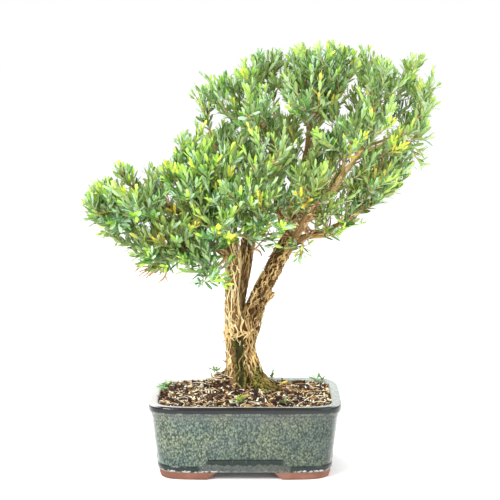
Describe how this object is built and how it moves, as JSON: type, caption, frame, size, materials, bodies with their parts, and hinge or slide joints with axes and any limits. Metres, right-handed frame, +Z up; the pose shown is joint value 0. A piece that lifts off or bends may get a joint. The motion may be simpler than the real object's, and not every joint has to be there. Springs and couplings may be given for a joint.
{
  "type": "boxwood bonsai",
  "caption": "Boxwood bonsai with a forked bare trunk and a broad leafy crown, in a rectangular glazed pot with cut feet, filled with coarse soil; it stands free on a shelf or table.",
  "frame": {"origin": "on the surface that the pot stands on, under the middle of the whole object's box", "axes": "+Z up; +X along the pot's long side, to the right in the front view; +Y from the front to the back"},
  "size_m": [0.5146, 0.2554, 0.599],
  "materials": {
    "glaze": "gloss",
    "screen": "matte",
    "soil": "matte",
    "bark": "matte",
    "leaf": "satin"
  },
  "bodies": {
    "root": {"pot": "glaze", "drain_screen_left": "screen", "drain_screen_right": "screen", "soil": "soil", "trunk": "bark", "spray_left_low_1": "leaf", "spray_left_low_2": "leaf", "spray_left_low_3": "leaf", "spray_left_main_1": "leaf", "spray_left_main_2": "leaf", "spray_left_main_3": "leaf", "spray_left_main_4": "leaf", "spray_left_main_5": "leaf", "spray_left_main_6": "leaf", "spray_left_main_7": "leaf", "spray_left_up_1": "leaf", "spray_left_up_2": "leaf", "spray_left_up_3": "leaf", "spray_left_up_4": "leaf", "spray_left_up_5": "leaf", "spray_center_front_1": "leaf", "spray_center_front_2": "leaf", "spray_center_front_3": "leaf", "spray_center_front_4": "leaf", "spray_back_left_1": "leaf", "spray_back_left_2": "leaf", "spray_back_left_3": "leaf", "spray_center_up_1": "leaf", "spray_center_up_2": "leaf", "spray_center_up_3": "leaf", "spray_center_up_4": "leaf", "spray_center_up_5": "leaf", "spray_right_up_1": "leaf", "spray_right_up_2": "leaf", "spray_right_up_3": "leaf", "spray_right_up_4": "leaf", "spray_right_up_5": "leaf", "spray_right_mid_1": "leaf", "spray_right_mid_2": "leaf", "spray_right_mid_3": "leaf", "spray_right_mid_4": "leaf", "spray_right_mid_5": "leaf", "spray_right_back_1": "leaf", "spray_right_back_2": "leaf", "spray_right_back_3": "leaf", "spray_right_back_4": "leaf", "spray_right_low_1": "leaf", "spray_right_low_2": "leaf", "spray_right_low_3": "leaf", "spray_right_low_4": "leaf", "spray_right_front_1": "leaf", "spray_back_1": "leaf", "spray_back_2": "leaf"}
  },
  "joints": []
}
